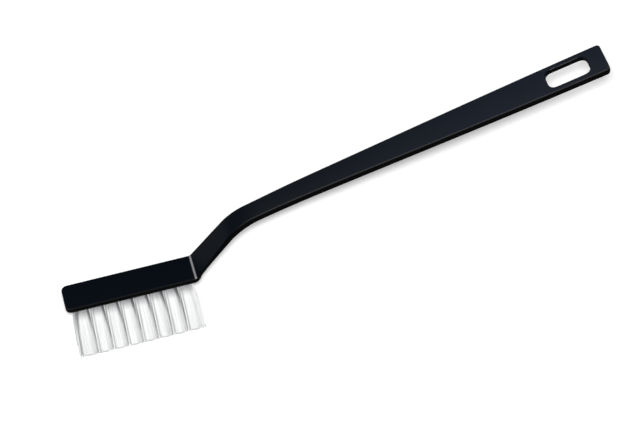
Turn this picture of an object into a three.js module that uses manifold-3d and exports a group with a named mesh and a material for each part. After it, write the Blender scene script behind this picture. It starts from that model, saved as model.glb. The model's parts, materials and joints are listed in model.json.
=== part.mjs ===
// A hand brush for cleaning polishing pads: a one-piece moulded handle with a flat head,
// a cranked neck and a hanging slot, two rows of stiff nylon tufts, and a flat wire anchor
// across the fold of each tuft.
// Millimetres, +Z up. The brush stands on its bristle tips, with the head at -X and the
// back of the head level. The tips lie at Z = 0, and X = 0 is the middle of its length.

import * as THREE from 'three';
import { mergeVertices } from 'three/addons/utils/BufferGeometryUtils.js';
import Module from 'manifold-3d';

const wasm = await Module();
wasm.setup();

// Head
const HEAD_LENGTH = 49.85;
const HEAD_WIDTH = 12.7;
const HEAD_THICKNESS = 3.5;
const HEAD_WALL = 1.76;
const HEAD_BELLY_INSET = 1.3;
const TOE_CORNER_RADIUS = 2.4;

// Fold between head and neck, where the head thins down to the neck
const FOLD_RADIUS = 1.6;
const FOLD_THINNING = 1.5;

// Neck
const NECK_SLOPE = 47.6;
const NECK_LENGTH = 19.27;
const NECK_THICKNESS = 2.6;
const NECK_WALL = 0.92;
const NECK_BELLY_INSET = 2.1;

// Bend and waist
const BEND_RADIUS = 25.5;
const BEND_END_SLOPE = 17.24;
const WAIST_WIDTH = 8;
const WAIST_BLEND = 0.4;

// Handle: its sides spread from the waist at one rate and reach the end at another
const GRIP_RADIUS = 456;
const HANDLE_SLOPE = 13.87;
const HANDLE_LENGTH = 115;
const HANDLE_END_WIDTH = 13.9;
const SPREAD_AT_WAIST = 0.82;
const SPREAD_AT_END = 0.25;
const HANDLE_THICKNESS = 2.95;
const HANDLE_WALL = 2.65;
const HANDLE_BELLY_INSET = 0.3;
const END_CORNER_RADIUS = 1.5;
const END_UNDER_RADIUS = 2.2;
const TOP_EDGE = 0.3;

// Hanging slot
const SLOT_LENGTH = 16.4;
const SLOT_WIDTH = 9.1;
const SLOT_CORNER_RADIUS = 3;
const SLOT_TO_END = 6.6;
const SLOT_UNDER_CHAMFER = 1;

// Bristles
const BRISTLE_LENGTH = 25.7;
const TUFT_COLUMNS = 8;
const TUFT_PITCH = 5.5;
const TUFT_ROW_SPACING = 4.8;
const FIRST_TUFT_FROM_TOE = 6.2;
const TUFT_DIAMETER = 4.2;
const TUFT_FAN = 1.06;
const TUFT_ROW_FAN = 1.08;
const TUFT_LEAN = 0.35;
const TUFT_TIP_GAP = 0.28;
const TUFT_TIP_SQUARENESS = 6;
const TOE_SPLAY = 1.6;
const HEEL_SPLAY = 1;
const STRANDS_PER_RING = [1, 7, 16];
const STRAND_RADIUS = 0.24;
const STRAND_SIDES = 3;

// Slice of the head that each row of tufts is fused to, and the recess it sits in
const BACKING_THICKNESS = 1.2;
const BACKING_MARGIN = 0.15;
const BACKING_CORNER_RADIUS = 1.2;
const SEAT_CLEARANCE = 0.3;

// Tuft anchors
const ANCHOR_LENGTH = 4.4;
const ANCHOR_THICKNESS = 0.4;
const ANCHOR_HEIGHT = 0.9;

// Fineness of round stretches
const ARC_STEP = 6;
const CORNER_STEPS = 5;
const HEAD_STEPS = 2;
const NECK_STEPS = 8;
const HANDLE_STEPS = 10;
const ARC_LEAST_STEPS = 3;
const CUT_OVERSHOOT = 2;
const WELD_DISTANCE = 1e-4;

const moulded = new THREE.MeshStandardMaterial({ color: 0x16191f, roughness: 0.5, metalness: 0 });
const nylon = new THREE.MeshStandardMaterial({ color: 0xeef0ee, roughness: 0.55, metalness: 0 });
const steel = new THREE.MeshStandardMaterial({ color: 0xb9bcc0, roughness: 0.35, metalness: 1 });

const radians = THREE.MathUtils.degToRad;
const smooth = (t) => THREE.MathUtils.smoothstep(t, 0, 1);

// Closed solid through a row of convex rings that all have the same number of points
function loft(rings) {
  const count = rings[0].length;
  const positions = rings.flat().flatMap((p) => [p.x, p.y, p.z]);
  const index = [];
  const last = (rings.length - 1) * count;
  for (let r = 0; r < rings.length - 1; r += 1) {
    for (let k = 0; k < count; k += 1) {
      const a = r * count + k;
      const b = r * count + ((k + 1) % count);
      index.push(a, b, a + count, b, b + count, a + count);
    }
  }
  for (let k = 1; k < count - 1; k += 1) {
    index.push(0, k + 1, k);
    index.push(last, last + k, last + k + 1);
  }
  const geometry = new THREE.BufferGeometry();
  geometry.setAttribute('position', new THREE.Float32BufferAttribute(positions, 3));
  geometry.setIndex(index);
  return geometry;
}

function toSolid(geometry) {
  const bare = geometry.clone();
  bare.deleteAttribute('normal');
  bare.deleteAttribute('uv');
  const merged = mergeVertices(bare, WELD_DISTANCE);
  return new wasm.Manifold(new wasm.Mesh({
    numProp: 3,
    vertProperties: new Float32Array(merged.attributes.position.array),
    triVerts: new Uint32Array(merged.index.array),
  }));
}

function toGeometry(solid) {
  const mesh = solid.getMesh();
  const geometry = new THREE.BufferGeometry();
  geometry.setAttribute('position', new THREE.Float32BufferAttribute(mesh.vertProperties, 3));
  geometry.setIndex(Array.from(mesh.triVerts));
  return geometry;
}

// Rectangle with round corners, centred on (x, y), as a ring at one height, anticlockwise from above
function roundedRing(x, y, z, length, width, radius) {
  const ring = [];
  const corners = [[1, 1], [-1, 1], [-1, -1], [1, -1]];
  corners.forEach(([sx, sy], quarter) => {
    for (let k = 0; k <= CORNER_STEPS; k += 1) {
      const angle = (quarter + k / CORNER_STEPS) * Math.PI / 2;
      const cx = x + sx * (length / 2 - radius);
      const cy = y + sy * (width / 2 - radius);
      ring.push(new THREE.Vector3(cx + radius * Math.cos(angle), cy + radius * Math.sin(angle), z));
    }
  });
  return ring;
}

// Side view of the back face: straight and round stretches from the toe to the handle end.
// Each point carries its slope and the stretch that it lies on.
const headTop = BRISTLE_LENGTH + HEAD_THICKNESS;

function backLine() {
  const points = [];
  const pen = { x: 0, z: headTop };
  const straight = (length, slope, part, steps) => {
    for (let k = 0; k <= steps; k += 1) {
      const d = length * k / steps;
      points.push({ x: pen.x + d * Math.cos(slope), z: pen.z + d * Math.sin(slope), slope, part });
    }
    pen.x += length * Math.cos(slope);
    pen.z += length * Math.sin(slope);
  };
  const arc = (radius, from, to, part) => {
    const steps = Math.max(ARC_LEAST_STEPS, Math.ceil(Math.abs(from - to) / radians(ARC_STEP)));
    const x = pen.x;
    const z = pen.z;
    const bend = Math.sign(to - from) * radius;
    for (let k = 1; k <= steps; k += 1) {
      const slope = from + (to - from) * k / steps;
      pen.x = x + bend * (Math.sin(slope) - Math.sin(from));
      pen.z = z + bend * (Math.cos(from) - Math.cos(slope));
      points.push({ x: pen.x, z: pen.z, slope, part });
    }
  };
  const neckSlope = radians(NECK_SLOPE);
  straight(HEAD_LENGTH - FOLD_RADIUS * Math.tan(neckSlope / 2), 0, 'head', HEAD_STEPS);
  arc(FOLD_RADIUS, 0, neckSlope, 'fold');
  straight(NECK_LENGTH, neckSlope, 'neck', NECK_STEPS);
  arc(BEND_RADIUS, neckSlope, radians(BEND_END_SLOPE), 'bend');
  arc(GRIP_RADIUS, radians(BEND_END_SLOPE), radians(HANDLE_SLOPE), 'grip');
  straight(HANDLE_LENGTH, radians(HANDLE_SLOPE), 'handle', HANDLE_STEPS);
  return points;
}

const back = backLine();
let along = 0;
back.forEach((p, k) => {
  if (k > 0) along += Math.hypot(p.x - back[k - 1].x, p.z - back[k - 1].z);
  p.along = along;
});
const totalAlong = along;
const foldStart = back.filter((p) => p.part === 'head').at(-1).along;
const neckStart = back.find((p) => p.part === 'neck').along;
const waistAt = back.filter((p) => p.part === 'bend').at(-1).along;
const handleEnd = back.at(-1);

// Width along the back: straight sides in to the waist, then spreading sides out to the end
function widthAt(run) {
  const toWaist = (run - neckStart) / (waistAt - neckStart);
  const t = THREE.MathUtils.clamp((run - waistAt) / (totalAlong - waistAt), 0, 1);
  const spread = SPREAD_AT_WAIST * (t ** 3 - 2 * t ** 2 + t)
    + SPREAD_AT_END * (t ** 3 - t ** 2) + smooth(t);
  const neck = THREE.MathUtils.lerp(HEAD_WIDTH, WAIST_WIDTH, Math.max(0, toWaist));
  const handle = THREE.MathUtils.lerp(WAIST_WIDTH, HANDLE_END_WIDTH, spread);
  const share = THREE.MathUtils.clamp(0.5 + (neck - handle) / (2 * WAIST_BLEND), 0, 1);
  return THREE.MathUtils.lerp(handle, neck, share) + WAIST_BLEND * share * (1 - share);
}

// Sizes of the cross-section at a place along the back line
const headSection = { thickness: HEAD_THICKNESS, wall: HEAD_WALL, inset: HEAD_BELLY_INSET };
const neckSection = { thickness: NECK_THICKNESS, wall: NECK_WALL, inset: NECK_BELLY_INSET };
const handleSection = { thickness: HANDLE_THICKNESS, wall: HANDLE_WALL, inset: HANDLE_BELLY_INSET };

function sectionAt(p) {
  const folded = THREE.MathUtils.clamp((p.along - foldStart) / (neckStart - foldStart), 0, 1);
  const thinned = folded ** FOLD_THINNING;
  const toHandle = smooth((p.along - neckStart) / (waistAt - neckStart));
  const size = { width: widthAt(p.along) };
  for (const key of Object.keys(headSection)) {
    const below = THREE.MathUtils.lerp(neckSection[key], handleSection[key], toHandle);
    size[key] = THREE.MathUtils.lerp(headSection[key], below, thinned);
  }
  return size;
}

// Ring of the section at a place, square to the back
function sectionRing(p, size) {
  const half = size.width / 2;
  const outline = [
    [TOP_EDGE - half, 0],
    [-half, TOP_EDGE],
    [-half, size.wall],
    [size.inset - half, size.thickness],
    [half - size.inset, size.thickness],
    [half, size.wall],
    [half, TOP_EDGE],
    [half - TOP_EDGE, 0],
  ];
  const across = Math.sin(p.slope);
  const up = Math.cos(p.slope);
  return outline.map(([y, down]) => new THREE.Vector3(p.x + down * across, y, p.z - down * up));
}

// How far a corner of this radius has drawn in, at a distance from the end
function drawIn(radius, distance) {
  const d = Math.min(radius, distance);
  return radius - Math.sqrt(radius * radius - (radius - d) ** 2);
}

function handleRings() {
  const rings = [];
  for (let k = 0; k < CORNER_STEPS; k += 1) {
    const distance = TOE_CORNER_RADIUS * (1 - Math.cos(k / CORNER_STEPS * Math.PI / 2));
    const p = { x: distance, z: headTop, slope: 0, along: distance };
    const size = sectionAt(p);
    rings.push(sectionRing(p, { ...size, width: size.width - 2 * drawIn(TOE_CORNER_RADIUS, distance) }));
  }
  const endReach = Math.max(END_CORNER_RADIUS, END_UNDER_RADIUS);
  back.filter((p) => p.along > TOE_CORNER_RADIUS && p.along < totalAlong - endReach)
    .forEach((p) => rings.push(sectionRing(p, sectionAt(p))));
  for (let k = 0; k <= CORNER_STEPS; k += 1) {
    const distance = endReach * (1 - Math.sin(k / CORNER_STEPS * Math.PI / 2));
    const p = {
      ...handleEnd,
      x: handleEnd.x - distance * Math.cos(handleEnd.slope),
      z: handleEnd.z - distance * Math.sin(handleEnd.slope),
      along: totalAlong - distance,
    };
    const size = sectionAt(p);
    const under = drawIn(END_UNDER_RADIUS, distance);
    rings.push(sectionRing(p, {
      ...size,
      width: size.width - 2 * drawIn(END_CORNER_RADIUS, distance),
      thickness: size.thickness - under,
      wall: Math.min(size.wall, size.thickness - under - HANDLE_BELLY_INSET / 2),
    }));
  }
  return rings;
}

// Slot cutter, square to the handle, opening out towards the underside
function slotCutter() {
  const middle = SLOT_TO_END + SLOT_LENGTH / 2;
  const flare = SLOT_UNDER_CHAMFER;
  const under = -HANDLE_THICKNESS;
  const level = (z, grow) => roundedRing(
    -middle, 0, z, SLOT_LENGTH + 2 * grow, SLOT_WIDTH + 2 * grow, SLOT_CORNER_RADIUS + grow,
  );
  const rings = [
    level(under - CUT_OVERSHOOT, flare),
    level(under, flare),
    level(under + flare, 0),
    level(CUT_OVERSHOOT, 0),
  ];
  const geometry = loft(rings);
  geometry.rotateY(-handleEnd.slope);
  geometry.translate(handleEnd.x, 0, handleEnd.z);
  return geometry;
}

// Places of the tufts: rows across the head, columns along it
const rows = [
  { name: 'near', y: -TUFT_ROW_SPACING / 2 },
  { name: 'far', y: TUFT_ROW_SPACING / 2 },
];
const columns = Array.from({ length: TUFT_COLUMNS }, (_, k) => FIRST_TUFT_FROM_TOE + k * TUFT_PITCH);
const tuftMiddle = (columns[0] + columns.at(-1)) / 2;
const backingLength = columns.at(-1) - columns[0] + TUFT_DIAMETER + 2 * BACKING_MARGIN;
const backingWidth = TUFT_DIAMETER + 2 * BACKING_MARGIN;
const backingTop = BRISTLE_LENGTH + BACKING_THICKNESS;
const recessTop = backingTop + SEAT_CLEARANCE;

function recessCutter() {
  const length = backingLength + 2 * SEAT_CLEARANCE;
  const width = TUFT_ROW_SPACING + backingWidth + 2 * SEAT_CLEARANCE;
  const radius = BACKING_CORNER_RADIUS + SEAT_CLEARANCE;
  return loft([
    roundedRing(tuftMiddle, 0, BRISTLE_LENGTH - CUT_OVERSHOOT, length, width, radius),
    roundedRing(tuftMiddle, 0, recessTop, length, width, radius),
  ]);
}

function anchorBox(x, y, clearance, drop) {
  const height = ANCHOR_HEIGHT + clearance + drop;
  const box = new THREE.BoxGeometry(ANCHOR_LENGTH + 2 * clearance, ANCHOR_THICKNESS + 2 * clearance, height);
  box.translate(x, y, recessTop - drop + height / 2);
  return box;
}

function handleBody() {
  const cutters = [slotCutter(), recessCutter()];
  for (const row of rows) {
    for (const x of columns) cutters.push(anchorBox(x, row.y, SEAT_CLEARANCE, SEAT_CLEARANCE));
  }
  return toGeometry(toSolid(loft(handleRings())).subtract(wasm.Manifold.union(cutters.map(toSolid))));
}

// One strand of a tuft, from inside the backing down to the trimmed tip
function strand(root, tip, turn) {
  const ring = (at) => Array.from({ length: STRAND_SIDES }, (_, k) => {
    const angle = turn + k * 2 * Math.PI / STRAND_SIDES;
    const out = new THREE.Vector3(Math.cos(angle), Math.sin(angle), 0);
    return out.multiplyScalar(STRAND_RADIUS).add(at);
  });
  return loft([ring(tip), ring(root)]);
}

// How far a squarish outline reaches past a round one, in a direction
function squareness(angle) {
  const n = TUFT_TIP_SQUARENESS;
  return (Math.abs(Math.cos(angle)) ** n + Math.abs(Math.sin(angle)) ** n) ** (-1 / n);
}

// Strands of one tuft. Tufts spread until their tips all but meet, and the end ones splay outwards.
function tuftStrands(x, y) {
  const rootZ = BRISTLE_LENGTH + BACKING_THICKNESS / 2;
  const reach = TUFT_DIAMETER / 2 - STRAND_RADIUS;
  const tipReachX = (TUFT_PITCH * TUFT_FAN - TUFT_TIP_GAP) / 2 - STRAND_RADIUS;
  const tipReachY = (TUFT_ROW_SPACING * TUFT_ROW_FAN - TUFT_TIP_GAP) / 2 - STRAND_RADIUS;
  const toeSplay = x === columns[0] ? TOE_SPLAY : 0;
  const heelSplay = x === columns.at(-1) ? HEEL_SPLAY : 0;
  const tipX = tuftMiddle + (x - tuftMiddle) * TUFT_FAN + TUFT_LEAN;
  const tipY = y * TUFT_ROW_FAN;
  const strands = [];
  STRANDS_PER_RING.forEach((count, ring) => {
    const share = ring / (STRANDS_PER_RING.length - 1);
    for (let k = 0; k < count; k += 1) {
      const angle = (k + ring / 2) * 2 * Math.PI / count;
      const across = share * Math.cos(angle);
      const deep = share * Math.sin(angle);
      const root = new THREE.Vector3(x + reach * across, y + reach * deep, rootZ);
      const fill = squareness(angle);
      const sideways = tipReachX + (across < 0 ? toeSplay : heelSplay);
      const tip = new THREE.Vector3(tipX + sideways * across * fill, tipY + tipReachY * deep * fill, 0);
      strands.push(strand(root, tip, angle));
    }
  });
  return strands;
}

function tuftRow(y) {
  const backing = loft([
    roundedRing(tuftMiddle, y, BRISTLE_LENGTH, backingLength, backingWidth, BACKING_CORNER_RADIUS),
    roundedRing(tuftMiddle, y, backingTop, backingLength, backingWidth, BACKING_CORNER_RADIUS),
  ]);
  const strands = columns.flatMap((x) => tuftStrands(x, y));
  return toGeometry(wasm.Manifold.union([backing, ...strands].map(toSolid)));
}

const brush = new THREE.Group();

function addPiece(name, geometry, material) {
  const mesh = new THREE.Mesh(geometry, material);
  mesh.name = name;
  brush.add(mesh);
}

addPiece('handle_body', handleBody(), moulded);
for (const row of rows) {
  addPiece(`tuft_row_${row.name}`, tuftRow(row.y), nylon);
  columns.forEach((x, k) => addPiece(`anchor_${row.name}_${k + 1}`, anchorBox(x, row.y, 0, 0), steel));
}

// Centre the brush over the middle of its length
const reach = new THREE.Box3().setFromObject(brush);
brush.position.x = -(reach.min.x + reach.max.x) / 2;

export default brush;
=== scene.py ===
"""A hand brush for cleaning polishing pads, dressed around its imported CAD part.
The brush's sizes are in millimetres and its meshes, materials and lamps in metres. +Z is up: the brush
stands on its bristle tips, with the head towards -X."""

import json
import math
import random

import bmesh
import bpy
from mathutils import Matrix, Vector


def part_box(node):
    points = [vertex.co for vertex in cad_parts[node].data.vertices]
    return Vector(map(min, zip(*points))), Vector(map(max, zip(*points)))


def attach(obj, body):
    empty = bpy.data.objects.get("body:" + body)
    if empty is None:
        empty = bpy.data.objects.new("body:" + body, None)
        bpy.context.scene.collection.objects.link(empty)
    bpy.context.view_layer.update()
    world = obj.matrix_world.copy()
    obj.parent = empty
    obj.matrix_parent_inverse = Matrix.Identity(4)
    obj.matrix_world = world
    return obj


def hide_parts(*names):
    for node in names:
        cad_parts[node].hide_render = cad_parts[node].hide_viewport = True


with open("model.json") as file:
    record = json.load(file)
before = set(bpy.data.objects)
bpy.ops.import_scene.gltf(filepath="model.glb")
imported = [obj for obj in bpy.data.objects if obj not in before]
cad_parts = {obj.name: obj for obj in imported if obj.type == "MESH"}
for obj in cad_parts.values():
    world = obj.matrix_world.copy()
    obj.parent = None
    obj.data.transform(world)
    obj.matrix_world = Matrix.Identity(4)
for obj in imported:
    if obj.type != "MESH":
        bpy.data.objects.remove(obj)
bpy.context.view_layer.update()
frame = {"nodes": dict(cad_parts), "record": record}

# Handle body: one flat strip of black plastic, injection moulded in a single piece. The head is a level
# plate, the neck is cranked up from a fold behind it, and the handle widens from a narrow waist to a
# square end with a hanging slot. Blind holes for the tufts are moulded into the head's underside.
MM = 0.001
head_length, head_width, toe_corner_radius = 49.85, 12.7, 2.4
fold_radius, fold_thinning = 1.6, 1.5
neck_slope, neck_length = 47.6, 19.27
bend_radius, bend_end_slope = 25.5, 17.24
waist_width, waist_blend = 8.0, 0.4
grip_radius, handle_slope, handle_length = 456, 13.87, 115.0
handle_end_width, spread_at_waist, spread_at_end = 13.9, 0.82, 0.25
end_corner_radius, end_under_radius = 1.5, 2.2
top_edge_radius, side_edge_radius = 0.5, 0.25
head_section = {"thickness": 3.5, "wall": 1.76, "inset": 1.3}
neck_section = {"thickness": 2.6, "wall": 0.92, "inset": 2.1}
handle_section = {"thickness": 2.95, "wall": 2.65, "inset": 0.3}
head_top = {m["name"]: m for m in frame["record"]["mounts"]}["head_back"]["pos_m"][2] / MM
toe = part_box("handle_body")[0].x / MM


def clamped(t):
    return min(1, max(0, t))


def smooth(t):
    t = clamped(t)
    return t * t * (3 - 2 * t)


def between(a, b, share):
    return a + (b - a) * share


def drawn_in(radius, distance):
    """How far a corner of this radius has drawn in, at a distance from the end."""
    d = min(radius, max(0, distance))
    return radius - math.sqrt(radius * radius - (radius - d) ** 2)


def back_line():
    """The back of the brush in side view, from toe to handle end: points with slope and stretch."""
    points = []
    pen = Vector((0, head_top))

    def straight(length, slope, part, step):
        nonlocal pen
        count = math.ceil(length / step)
        way = Vector((math.cos(slope), math.sin(slope)))
        points.extend((pen + way * length * k / count, slope, part) for k in range(count + 1))
        pen = pen + way * length

    def arc(radius, start, end, part, degrees):
        nonlocal pen
        count = math.ceil(abs(end - start) / math.radians(degrees))
        bend = math.copysign(radius, end - start)
        corner = pen.copy()
        for k in range(1, count + 1):
            slope = start + (end - start) * k / count
            across = math.sin(slope) - math.sin(start)
            pen = corner + bend * Vector((across, math.cos(start) - math.cos(slope)))
            points.append((pen.copy(), slope, part))

    neck, waist, end = (math.radians(a) for a in (neck_slope, bend_end_slope, handle_slope))
    straight(head_length - fold_radius * math.tan(neck / 2), 0, "head", step=6)
    arc(fold_radius, 0, neck, "fold", degrees=4)
    straight(neck_length, neck, "neck", step=1.5)
    arc(bend_radius, neck, waist, "bend", degrees=2)
    arc(grip_radius, waist, end, "grip", degrees=0.5)
    straight(handle_length, end, "handle", step=6)
    return points


back = back_line()
runs = [0]
for before, after in zip(back, back[1:]):
    runs.append(runs[-1] + (after[0] - before[0]).length)
parts = [part for _, _, part in back]
fold_run = runs[parts.index("fold") - 1]
neck_run = runs[parts.index("neck")]
waist_run = runs[parts.index("grip") - 1]
total_run = runs[-1]
end_point, end_slope, _ = back[-1]


def width_at(run):
    """Straight sides in to the waist, then a cubic out to the end, blended where the two meet."""
    to_waist = max(0, (run - neck_run) / (waist_run - neck_run))
    t = clamped((run - waist_run) / (total_run - waist_run))
    spread = spread_at_waist * (t ** 3 - 2 * t ** 2 + t) + spread_at_end * (t ** 3 - t ** 2) + smooth(t)
    neck = between(head_width, waist_width, to_waist)
    handle = between(waist_width, handle_end_width, spread)
    share = clamped(0.5 + (neck - handle) / (2 * waist_blend))
    return between(handle, neck, share) + waist_blend * share * (1 - share)


def section_at(run):
    """Sizes of the section, thinned over the fold and filled out again towards the handle."""
    thinned = clamped((run - fold_run) / (neck_run - fold_run)) ** fold_thinning
    to_handle = smooth((run - neck_run) / (waist_run - neck_run))
    section = {"width": width_at(run)}
    for key, size in head_section.items():
        behind_fold = between(neck_section[key], handle_section[key], to_handle)
        section[key] = between(size, behind_fold, thinned)
    return section


def rounded(corners, radii, steps):
    """A closed outline with each corner rounded by its radius."""
    outline = []
    for k, corner in enumerate(corners):
        before, after = corners[k - 1], corners[(k + 1) % len(corners)]
        a = corner + (before - corner).normalized() * radii[k]
        b = corner + (after - corner).normalized() * radii[k]
        for s in (j / steps for j in range(steps + 1)):
            outline.append(a.lerp(corner, s).lerp(corner.lerp(b, s), s))
    return outline


edge_steps = 4
edge_wear = [0, 0.6, 1, 0.6, 0]
head_gloss, head_rim_gloss, fold_gloss = 0.12, 0.3, 0.2
waist_gloss, end_gloss, handle_rim_gloss, near_gloss, far_gloss = 0.6, 0.95, 0.9, 1.15, 0.75
polish_before_waist, polish_run = 10.5, 15
# Where the painted highlight along the fold is full, and how far it reaches.
crease_core, crease_reach, crease_points = 0.125, 0.4375, 3


def gloss_at(run):
    """Gloss of the back face and of its rims: little on the head, least on the neck, most on the handle."""
    if run <= fold_run:
        return head_gloss, head_rim_gloss
    if run < neck_run:
        return fold_gloss, 0
    held = max(0, (run - waist_run) / (total_run - waist_run))
    polished = smooth((run - waist_run + polish_before_waist) / polish_run)
    return between(waist_gloss, end_gloss, held) * polished, handle_rim_gloss * polished


def crease_highlight_at(run):
    """How strongly the painted highlight along the fold shows: most along its middle."""
    off_middle = abs((run - fold_run) / (neck_run - fold_run) - 0.5)
    return smooth((crease_reach - off_middle) / (crease_reach - crease_core))


def section_ring(point, tilt, run, width, thickness, wall, inset, top=0):
    """One section of the body, each point with its worn gloss and its share of the painted fold highlight.
    """
    half = width / 2
    corners = [Vector(c) for c in (
        (-half, top), (-half, wall), (inset - half, thickness),
        (half - inset, thickness), (half, wall), (half, top))]
    edge = min(top_edge_radius, (thickness - top) / 3)
    side = min(side_edge_radius, (thickness - wall) / 3)
    ring = rounded(corners, [edge, side, side, side, side, edge], edge_steps)
    face, rim = gloss_at(run)
    near = [between(face * near_gloss, 0, k / edge_steps) + rim * w for k, w in enumerate(edge_wear)]
    far = [between(0, face * far_gloss, k / edge_steps) + rim * w for k, w in enumerate(edge_wear)]
    gloss = near + [0] * (len(ring) - len(near) - len(far)) + far
    crease = [crease_highlight_at(run)] * crease_points
    crease_highlight_share = crease + [0] * (len(ring) - 2 * crease_points) + crease
    down = Vector((math.sin(tilt), -math.cos(tilt)))
    places = ((point + down * d, y) for y, d in ring)
    return [(Vector((toe + p.x, y, p.y)) * MM, *marks) for (p, y), *marks in zip(places, gloss, crease_highlight_share)]


weld_distance = 0.001


def draw_out(mesh, rings):
    """Extrudes a ring of points through the rings that follow it, and closes both ends."""
    layers = [mesh.verts.layers.float.new(name) for name in ("gloss", "crease_highlight_share")]
    ring = [mesh.verts.new(p) for p, *_ in rings[0]]
    start = mesh.faces.new(ring)
    loop = list(start.edges)
    for number, points in enumerate(rings):
        if number > 0:
            grown = bmesh.ops.extrude_edge_only(mesh, edges=loop)["geom"]
            fresh = {v for v in grown if isinstance(v, bmesh.types.BMVert)}
            edges = [e for e in grown if isinstance(e, bmesh.types.BMEdge)]
            loop = [e for e in edges if e.verts[0] in fresh and e.verts[1] in fresh]
            ring = [next(e.other_vert(v) for e in v.link_edges if e.other_vert(v) in fresh) for v in ring]
        for vert, (place, *marks) in zip(ring, points):
            vert.co = place
            for layer, mark in zip(layers, marks):
                vert[layer] = mark
    mesh.faces.new(ring)
    bmesh.ops.remove_doubles(mesh, verts=mesh.verts[:], dist=weld_distance * MM)
    bmesh.ops.recalc_face_normals(mesh, faces=mesh.faces[:])


corner_steps = 8
body_rings = []
for k in range(corner_steps):
    distance = toe_corner_radius * (1 - math.cos(k / corner_steps * math.pi / 2))
    size = section_at(distance)
    size["width"] -= 2 * drawn_in(toe_corner_radius, distance)
    size["top"] = drawn_in(top_edge_radius, distance)
    body_rings.append(section_ring(Vector((distance, head_top)), 0, distance, **size))
end_reach = max(end_corner_radius, end_under_radius)
for (point, slope, _), run in zip(back, runs):
    if toe_corner_radius < run < total_run - end_reach:
        body_rings.append(section_ring(point, slope, run, **section_at(run)))
for k in range(corner_steps + 1):
    distance = end_reach * (1 - math.sin(k / corner_steps * math.pi / 2))
    point = end_point - Vector((math.cos(end_slope), math.sin(end_slope))) * distance
    size = section_at(total_run - distance)
    size["width"] -= 2 * drawn_in(end_corner_radius, distance)
    size["thickness"] -= drawn_in(end_under_radius, distance)
    size["wall"] = min(size["wall"], size["thickness"] - size["inset"] / 2)
    size["top"] = drawn_in(top_edge_radius, distance)
    body_rings.append(section_ring(point, end_slope, total_run - distance, **size))

body_mesh = bmesh.new()
draw_out(body_mesh, body_rings)


def add_piece(name, mesh):
    """A finished bmesh as an object at the origin."""
    data = bpy.data.meshes.new(name)
    mesh.to_mesh(data)
    mesh.free()
    piece = bpy.data.objects.new(name, data)
    bpy.context.scene.collection.objects.link(piece)
    return piece


handle_body = add_piece("moulded_handle", body_mesh)

slot_length, slot_width, slot_corner_radius, slot_to_end = 16.4, 9.1, 3.0, 6.6
slot_rim_radius, slot_under_chamfer = 0.45, 1.0
slot_rim_wear = ((0, 0.9), (0.05, 0.9), (0.12, 0.9), (0.22, 0.8), (0.33, 0.5), (slot_rim_radius, 0))
cut_above, cut_below = 2, 0.2
slot_middle = -slot_to_end - slot_length / 2
slot_levels = [(cut_above, slot_rim_radius, 0)]
slot_levels += [(-depth, drawn_in(slot_rim_radius, depth), gloss) for depth, gloss in slot_rim_wear]
slot_levels += [(slot_under_chamfer - handle_section["thickness"], 0, 0)]
slot_levels += [(-handle_section["thickness"] - cut_below, slot_under_chamfer + cut_below, 0)]
slot_rings = []
for level, grow, gloss in slot_levels:
    half_x, half_y = slot_length / 2 + grow, slot_width / 2 + grow
    corners = [Vector((half_x * a, half_y * b)) for a, b in ((1, 1), (-1, 1), (-1, -1), (1, -1))]
    ring = rounded(corners, [slot_corner_radius + grow] * len(corners), corner_steps)
    slot_rings.append([(Vector((slot_middle + p.x, p.y, level)) * MM, gloss, 0) for p in ring])
slot_mesh = bmesh.new()
draw_out(slot_mesh, slot_rings)
end_place = Vector((toe + end_point.x, 0, end_point.y)) * MM
to_end = Matrix.Translation(end_place) @ Matrix.Rotation(-end_slope, 4, "Y")
bmesh.ops.transform(slot_mesh, matrix=to_end, verts=slot_mesh.verts[:])

tuft_columns, tuft_pitch, first_tuft, row_spacing = 8, 5.5, 6.2, 4.8
hole_diameter, hole_sides, hole_roof, hole_overcut = 4.3, 28, 0.9, 1.0
hole_top = head_top - hole_roof
hole_foot = head_top - head_section["thickness"] - hole_overcut
hole_mesh = bmesh.new()
tuft_places = [(toe + first_tuft + k * tuft_pitch, side * row_spacing / 2)
               for side in (-1, 1) for k in range(tuft_columns)]
for x, y in tuft_places:
    place = Vector((x, y, (hole_top + hole_foot) / 2)) * MM
    bmesh.ops.create_cone(hole_mesh, cap_ends=True, segments=hole_sides, radius1=hole_diameter / 2 * MM,
                          radius2=hole_diameter / 2 * MM, depth=(hole_top - hole_foot) * MM,
                          matrix=Matrix.Translation(place))

for cutter_name, cutter_mesh in (("slot_cutter", slot_mesh), ("hole_cutter", hole_mesh)):
    cutter = add_piece(cutter_name, cutter_mesh)
    cut = handle_body.modifiers.new("cut", "BOOLEAN")
    cut.operation, cut.solver, cut.object = "DIFFERENCE", "EXACT", cutter
    evaluated = handle_body.evaluated_get(bpy.context.evaluated_depsgraph_get())
    handle_body.data = bpy.data.meshes.new_from_object(evaluated)
    handle_body.modifiers.clear()
    bpy.data.objects.remove(cutter)
handle_body.data.name = "moulded_handle"

# The cut drops the gloss of the back face along the slot's edge, so it is set again there
flush = 0.02
from_end = to_end.inverted()
for vert, gloss in zip(handle_body.data.vertices, handle_body.data.attributes["gloss"].data):
    at = from_end @ vert.co / MM
    from_slot = max(abs(at.x - slot_middle) - slot_length / 2, abs(at.y) - slot_width / 2)
    if abs(at.z) < flush and from_slot < 2 * slot_rim_radius:
        gloss.value = end_gloss


class Value:
    """A number in a material's nodes that takes Python arithmetic."""

    def __init__(self, finish, socket):
        self.finish, self.socket = finish, socket

    def maths(self, operation, a, b):
        return self.finish.node("ShaderNodeMath", {"operation": operation}, {0: a, 1: b})

    def __add__(self, other):
        return self.maths("ADD", self, other)

    def __radd__(self, other):
        return self.maths("ADD", other, self)

    def __mul__(self, other):
        return self.maths("MULTIPLY", self, other)

    def __rmul__(self, other):
        return self.maths("MULTIPLY", other, self)


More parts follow.
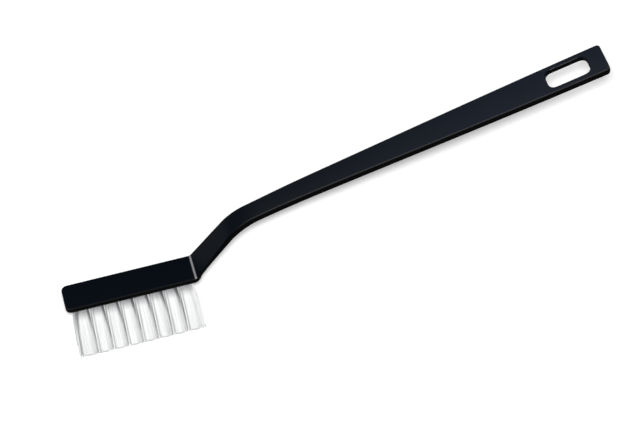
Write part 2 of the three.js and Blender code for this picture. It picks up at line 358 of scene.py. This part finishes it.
class Finish:
    """A material whose nodes are added one call at a time."""

    def __init__(self, name):
        self.material = bpy.data.materials.new(name)
        self.material.use_nodes = True
        self.tree = self.material.node_tree
        self.surface = self.tree.nodes["Principled BSDF"]

    def feed(self, socket, value):
        if isinstance(value, Value):
            self.tree.links.new(value.socket, socket)
        else:
            socket.default_value = value

    def node(self, kind, settings=None, inputs=None, output=0):
        made = self.tree.nodes.new(kind)
        for name, value in (settings or {}).items():
            setattr(made, name, value)
        for name, value in (inputs or {}).items():
            self.feed(made.inputs[name], value)
        return Value(self, made.outputs[output])

    def shade(self, inputs):
        for name, value in inputs.items():
            self.feed(self.surface.inputs[name], value)

    def coordinates(self, scale=(1, 1, 1)):
        place = self.node("ShaderNodeTexCoord", output="Object")
        return self.node("ShaderNodeMapping", inputs={"Vector": place, "Scale": scale})

    def along(self, axis):
        return self.node("ShaderNodeSeparateXYZ", inputs={0: self.coordinates()}, output=axis)

    def layer(self, name):
        return self.node("ShaderNodeAttribute", {"attribute_name": name}, output="Fac")

    def noise(self, scale, detail=2.0, stretch=(1, 1, 1)):
        inputs = {"Vector": self.coordinates(stretch), "Scale": scale, "Detail": detail}
        return self.node("ShaderNodeTexNoise", inputs=inputs, output="Fac")

    def fade(self, value, start, end, easing="LINEAR"):
        """A share that grows from 0 to 1 as a number goes from start to end."""
        inputs = {"Value": value, "From Min": start, "From Max": end}
        return self.node("ShaderNodeMapRange", {"interpolation_type": easing}, inputs)

    def blend(self, factor, first, second):
        """A colour between two, by a number from 0 to 1."""
        inputs = {0: factor, 6: first, 7: second}
        return self.node("ShaderNodeMix", {"data_type": "RGBA"}, inputs, output=2)


# Between these places the colour moves from the head's black to the handle's lighter, bluer black: a
# painted sheen.
neck_end, hand_start = -0.045, 0.06
# A pale grey painted along the fold: a painted highlight.
painted_crease_highlight = (0.25, 0.25, 0.26, 1)
grain_depth, cloudiness, coat_roughness = 0.03, 0.12, 0.3


def moulded_black(name, head_shades, handle_shades, roughness, specular, grain):
    """Black moulded plastic: faint flow marks, shades that change towards the handle (painted sheen), a
    painted fold highlight, a fine spark-eroded grain, worn gloss.
    """
    finish = Finish(name)
    flow = finish.noise(scale=90, detail=3.0, stretch=(0.4, 1, 1))
    pits = finish.noise(scale=3200)
    cloud = finish.noise(scale=500)
    held = finish.fade(finish.along("X"), neck_end, hand_start)
    colour = finish.blend(held, finish.blend(flow, *head_shades), finish.blend(flow, *handle_shades))
    bump = finish.node("ShaderNodeBump", inputs={
        "Strength": grain, "Distance": grain_depth * MM, "Height": pits})
    finish.shade({"Base Color": finish.blend(finish.layer("crease_highlight_share"), colour, painted_crease_highlight),
                  "Roughness": roughness - cloudiness / 2 + cloudiness * cloud, "Normal": bump,
                  "Specular IOR Level": specular, "Coat Weight": finish.layer("gloss"),
                  "Coat Roughness": coat_roughness})
    return finish.material


head_blacks = [(0.0008, 0.0022, 0.0045, 1), (0.0011, 0.0028, 0.0056, 1)]
# The handle's black is lighter and bluer than the head's: a painted sheen.
handle_blacks_painted_sheen = [(0.0030, 0.0056, 0.0122, 1), (0.0039, 0.0069, 0.0150, 1)]
# A darker black for the sides and underside: painted shade.
side_blacks_painted_shade = [(0.0006, 0.0006, 0.0008, 1), (0.0009, 0.0009, 0.0011, 1)]
handle_body.data.materials.clear()
handle_body.data.materials.append(moulded_black(
    "satin_black_back", head_blacks, handle_blacks_painted_sheen, roughness=0.5, specular=0.03, grain=0.25))
handle_body.data.materials.append(moulded_black(
    "matt_black_sides_painted_shade", side_blacks_painted_shade, side_blacks_painted_shade, roughness=0.6, specular=0.015, grain=0.35))
# Faces that face up get the back's black, all others the darker, rougher sides' black, whose darker colour
# is painted shade.
least_upward, most_sideways, crisp_edge = 0.3, 0.75, math.radians(28)
for face in handle_body.data.polygons:
    face.use_smooth = True
    on_back = face.normal.z > least_upward and abs(face.normal.y) < most_sideways
    face.material_index = 0 if on_back else 1
handle_body.data.set_sharp_from_angle(angle=crisp_edge)
weighted = handle_body.modifiers.new("even_shading", "WEIGHTED_NORMAL")
weighted.keep_sharp = True
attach(handle_body, "root")
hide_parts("handle_body")

# Tufts: two rows of eight bundles of stiff white nylon filaments. Each bundle is folded in half, pushed
# into its hole in the head and held by its anchor. The bundles spread towards the tips, which are
# trimmed level in one cut.
filament_radius, filaments_per_tuft = 0.17, 150
flare = [(0, 0), (0.08, 0.05), (0.2, 0.42), (0.5, 0.75), (1, 1)]
tuft_diameter, root_in_hole, tip_gap, tuft_lean = 4.2, 0.4, 0.12, 0.35
tuft_fan, row_fan, toe_splay, heel_splay = 1.06, 1.08, 1.6, 1.0
square_side, round_side = 20, 12
parting, parting_gap, parting_width = -0.78, 0.14, 0.06
stray, trim_unevenness = 0.05, 0.12
# Painted shade: where the crevice shade, the first tuft's outer flank shade and each row's inner shade
# begin, and how strong they are.
crevice_from, crevice_painted_shade = 0.56, 0.8
flank_from, flank_run, flank_painted_shade = 0.65, 0.2, 0.55
inner_from, inner_run, inner_painted_shade, heel_clear_from = 0.2, 2 / 3, 0.8, 0.3
tuft_middle = toe + first_tuft + (tuft_columns - 1) / 2 * tuft_pitch
golden_angle = math.pi * (3 - math.sqrt(5))
chance = random.Random(7)


def filament_path(x, y, number):
    """Points of one filament from its hole to its tip, and how much painted shade it gets beside crevices
    and along the parting.
    """
    share = math.sqrt((number + 0.5) / filaments_per_tuft)
    angle = number * golden_angle
    across, deep = share * math.cos(angle), share * math.sin(angle)
    reach = tuft_diameter / 2 - filament_radius
    root = Vector((x + reach * across, y + reach * deep, hole_top - root_in_hole))
    column = round((x - toe - first_tuft) / tuft_pitch)
    first, last = column == 0, column == tuft_columns - 1
    n = round_side if first and across < 0 or across > 0 and not last else square_side
    fill = (abs(math.cos(angle)) ** n + abs(math.sin(angle)) ** n) ** (-1 / n)
    across, deep = across * fill, deep * fill
    spread = (tuft_pitch * tuft_fan - tip_gap) / 2 - filament_radius
    if first and across < 0:
        spread += toe_splay
    if last and across > 0:
        spread += heel_splay
    sideways = spread * across + math.copysign(parting_gap / 2, across - parting)
    backwards = ((row_spacing * row_fan - tip_gap) / 2 - filament_radius) * deep
    tip_x = tuft_middle + (x - tuft_middle) * tuft_fan + tuft_lean + sideways + chance.gauss(0, stray)
    tip_y = y * row_fan + backwards + chance.gauss(0, stray)
    tip = Vector((tip_x, tip_y, chance.uniform(0, trim_unevenness)))
    bow = Vector((chance.gauss(0, stray), chance.gauss(0, stray), 0))
    path = []
    for down, out in flare:
        place = root.lerp(tip, out) + bow * 4 * down * (1 - down)
        path.append(Vector((place.x, place.y, between(root.z, tip.z, down))))
    # Painted shade in the colour: greyer towards the crevice at each tuft's right, on the first tuft's
    # outer flank, on each row's inner side, and in a thin line along the parting.
    inward = -deep if y > 0 else deep
    beside = 0 if last else crevice_painted_shade * smooth((across - crevice_from) / (1 - crevice_from))
    outside = flank_painted_shade * smooth((-across - flank_from) / flank_run) if first else 0
    clear = last and across > heel_clear_from
    inside = 0 if clear else inner_painted_shade * smooth((inward - inner_from) / inner_run)
    parted = smooth(2 - abs(across - parting) / parting_width)
    return path, (max(beside, outside, inside), parted)


cut_end = math.radians(50)


def tuft_row(name, places):
    """A row of tufts as one mesh: each filament is a thin round curve, closed at its ends."""
    curve = bpy.data.curves.new(name, "CURVE")
    curve.dimensions, curve.bevel_depth, curve.bevel_resolution = "3D", filament_radius * MM, 1
    shares = []
    for x, y in places:
        for number in range(filaments_per_tuft):
            path, share = filament_path(x, y, number)
            shares.append(share)
            line = curve.splines.new("POLY")
            line.points.add(len(path) - 1)
            for point, place in zip(line.points, path):
                point.co = (*(place * MM), 1)
    drawn = bpy.data.objects.new(name, curve)
    bpy.context.scene.collection.objects.link(drawn)
    mesh = bmesh.new()
    mesh.from_mesh(drawn.evaluated_get(bpy.context.evaluated_depsgraph_get()).to_mesh())
    bpy.data.objects.remove(drawn)
    layers = [mesh.verts.layers.float.new(layer) for layer in ("painted_shade_share", "parted")]
    points_each = len(mesh.verts) // len(shares)
    for number, vert in enumerate(mesh.verts):
        for layer, share in zip(layers, shares[number // points_each]):
            vert[layer] = share
    bmesh.ops.holes_fill(mesh, edges=[e for e in mesh.edges if e.is_boundary], sides=0)
    bmesh.ops.recalc_face_normals(mesh, faces=mesh.faces[:])
    for face in mesh.faces:
        face.smooth = True
    piece = add_piece(name, mesh)
    piece.data.set_sharp_from_angle(angle=cut_end)
    return piece


# The greys below are painted shade: in crevices and partings, towards the roots under the head, and along
# the tips.
dull_white, bright_white = (0.72, 0.73, 0.73, 1), (0.97, 0.98, 0.98, 1)
painted_shade_grey, painted_root_shade_grey, painted_tip_shade_grey = (0.10, 0.10, 0.11, 1), (0.06, 0.06, 0.07, 1), (0.26, 0.26, 0.28, 1)
crevice_heights, root_heights, tip_heights = (0.011, 0.024), (0.019, 0.0258), (0.0011, 0.0003)
crevice_at_tips, crevice_added_at_roots, parting_shade, root_shade, tip_shade = 0.46, 0.8, 0.32, 0.74, 0.7
nylon = Finish("white_nylon")
streaks = nylon.noise(scale=1, stretch=(2600, 2600, 40))
cloudy = nylon.noise(scale=260)
height = nylon.along("Z")
sunk, rooted, tipped = (nylon.fade(height, *heights, "SMOOTHSTEP")
                        for heights in (crevice_heights, root_heights, tip_heights))
fresh = nylon.blend(streaks, dull_white, bright_white)
# Painted shade: grey in the crevices, deeper towards the roots, and a thin grey line along each parting.
crevice = nylon.layer("painted_shade_share") * (crevice_at_tips + crevice_added_at_roots * sunk)
shaded = nylon.blend(crevice + nylon.layer("parted") * parting_shade, fresh, painted_shade_grey)
# Painted shade: the white darkens towards the roots, under the head.
shaded_at_roots = nylon.blend(rooted * root_shade, shaded, painted_root_shade_grey)
# Painted shade: a grey line at the tips, where they meet the floor.
nylon.shade({"Base Color": nylon.blend(tipped * tip_shade, shaded_at_roots, painted_tip_shade_grey),
             "Roughness": 0.34 + 0.2 * cloudy, "Specular IOR Level": 0.4})
for row, places in (("near", tuft_places[:tuft_columns]), ("far", tuft_places[tuft_columns:])):
    tufts = tuft_row(f"filaments_{row}", places)
    tufts.data.materials.clear()
    tufts.data.materials.append(nylon.material)
    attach(tufts, "root")
    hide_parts(f"tuft_row_{row}")

# Anchors: a short flat of drawn steel wire across the fold of each tuft, driven into the hole so that
# its ends bite into the plastic. They sit inside the head, out of sight.
dark_steel, light_steel = (0.42, 0.43, 0.45, 1), (0.62, 0.63, 0.65, 1)
steel = Finish("drawn_steel")
drawn_lines = steel.noise(scale=1, detail=3.0, stretch=(120, 9000, 9000))
steel.shade({"Base Color": steel.blend(drawn_lines, dark_steel, light_steel),
             "Roughness": 0.28 + 0.18 * drawn_lines, "Metallic": 1.0})
for name, node in frame["nodes"].items():
    if name.startswith("anchor_"):
        node.material_slots[0].material = steel.material

# Floor and light: a plain white sheet of paper that glows with distance, so that it stays white all
# round. One small lamp hangs just above the camera, and a broad weak one at the left opens the shadows.
floor_reach, paper_white, no_glow = 4, (0.93, 0.93, 0.93, 1), (0, 0, 0, 1)
near_glow, far_glow, glow_from, glow_to = (0.2, 0.2, 0.2, 1), (1, 1, 1, 1), 0.08, 0.45
floor_mesh = bmesh.new()
bmesh.ops.create_grid(floor_mesh, x_segments=1, y_segments=1, size=floor_reach)
floor = add_piece("floor", floor_mesh)
white = Finish("white_floor")
to_camera, in_gloss, through_clear = (white.node("ShaderNodeLightPath", output=f"Is {ray} Ray")
                                      for ray in ("Camera", "Glossy", "Transmission"))
away = white.node("ShaderNodeVectorMath", {"operation": "LENGTH"}, {0: white.coordinates()}, output="Value")
glow = white.blend(white.fade(away, glow_from, glow_to), near_glow, far_glow)
white.shade({"Base Color": paper_white, "Roughness": 0.9, "Specular IOR Level": 0.0,
             "Emission Color": white.blend(to_camera + in_gloss + through_clear, no_glow, glow),
             "Emission Strength": 1.0})
floor.data.materials.append(white.material)

world_strength = 0.2
world = bpy.data.worlds.new("studio")
bpy.context.scene.world = world
world.use_nodes = True
world.node_tree.nodes["Background"].inputs["Color"].default_value = (1, 1, 1, 1)
world.node_tree.nodes["Background"].inputs["Strength"].default_value = world_strength

centre = Vector((-0.006, 0, 0.04))


def soft_lamp(name, way, distance, size, power):
    """An oblong lamp that faces the brush from a direction."""
    light = bpy.data.lights.new(name, "AREA")
    light.shape, light.size, light.size_y, light.energy = "RECTANGLE", size[0], size[1], power
    lamp = bpy.data.objects.new(name, light)
    lamp.location = centre + Vector(way).normalized() * distance
    lamp.rotation_euler = (centre - lamp.location).to_track_quat("-Z", "Y").to_euler()
    bpy.context.scene.collection.objects.link(lamp)


soft_lamp("key_lamp", way=(-0.140, -0.972, 1.042), distance=0.905, size=(0.054, 0.032), power=7.9)
soft_lamp("side_lamp", way=(-0.75, -0.35, 0.65), distance=2.2, size=(1.4, 1.4), power=9)

# Camera: placed where the photograph was taken from, tilted a little, with the frame shifted so that
# the brush sits where it does in the picture.
azimuth, elevation, roll = (math.radians(a) for a in (8.1908, 45, -7.8176))
picture_width, picture_height, focal_pixels, sensor_width = 640, 427, 2439.52, 36
aim, aim_pixel, camera_distance = Vector((toe + 100.15, 0, head_top + 20)), (317.663, 197.906), 904.95
forward = Vector((math.sin(azimuth) * math.cos(elevation), math.cos(azimuth) * math.cos(elevation),
                  -math.sin(elevation)))
level = Vector((math.cos(azimuth), -math.sin(azimuth), 0))
upright = level.cross(forward)
right = level * math.cos(roll) + upright * math.sin(roll)
up = upright * math.cos(roll) - level * math.sin(roll)
lens = bpy.data.cameras.new("camera")
lens.sensor_width, lens.sensor_fit = sensor_width, "HORIZONTAL"
lens.lens = focal_pixels / picture_width * sensor_width
lens.shift_x = (picture_width / 2 - aim_pixel[0]) / picture_width
lens.shift_y = (aim_pixel[1] - picture_height / 2) / picture_width
camera = bpy.data.objects.new("camera", lens)
turn = Matrix((right, up, -forward)).transposed().to_4x4()
camera.matrix_world = Matrix.Translation((aim - forward * camera_distance) * MM) @ turn
bpy.context.scene.collection.objects.link(camera)
bpy.context.scene.camera = camera
bpy.context.scene.view_settings.view_transform = "Standard"
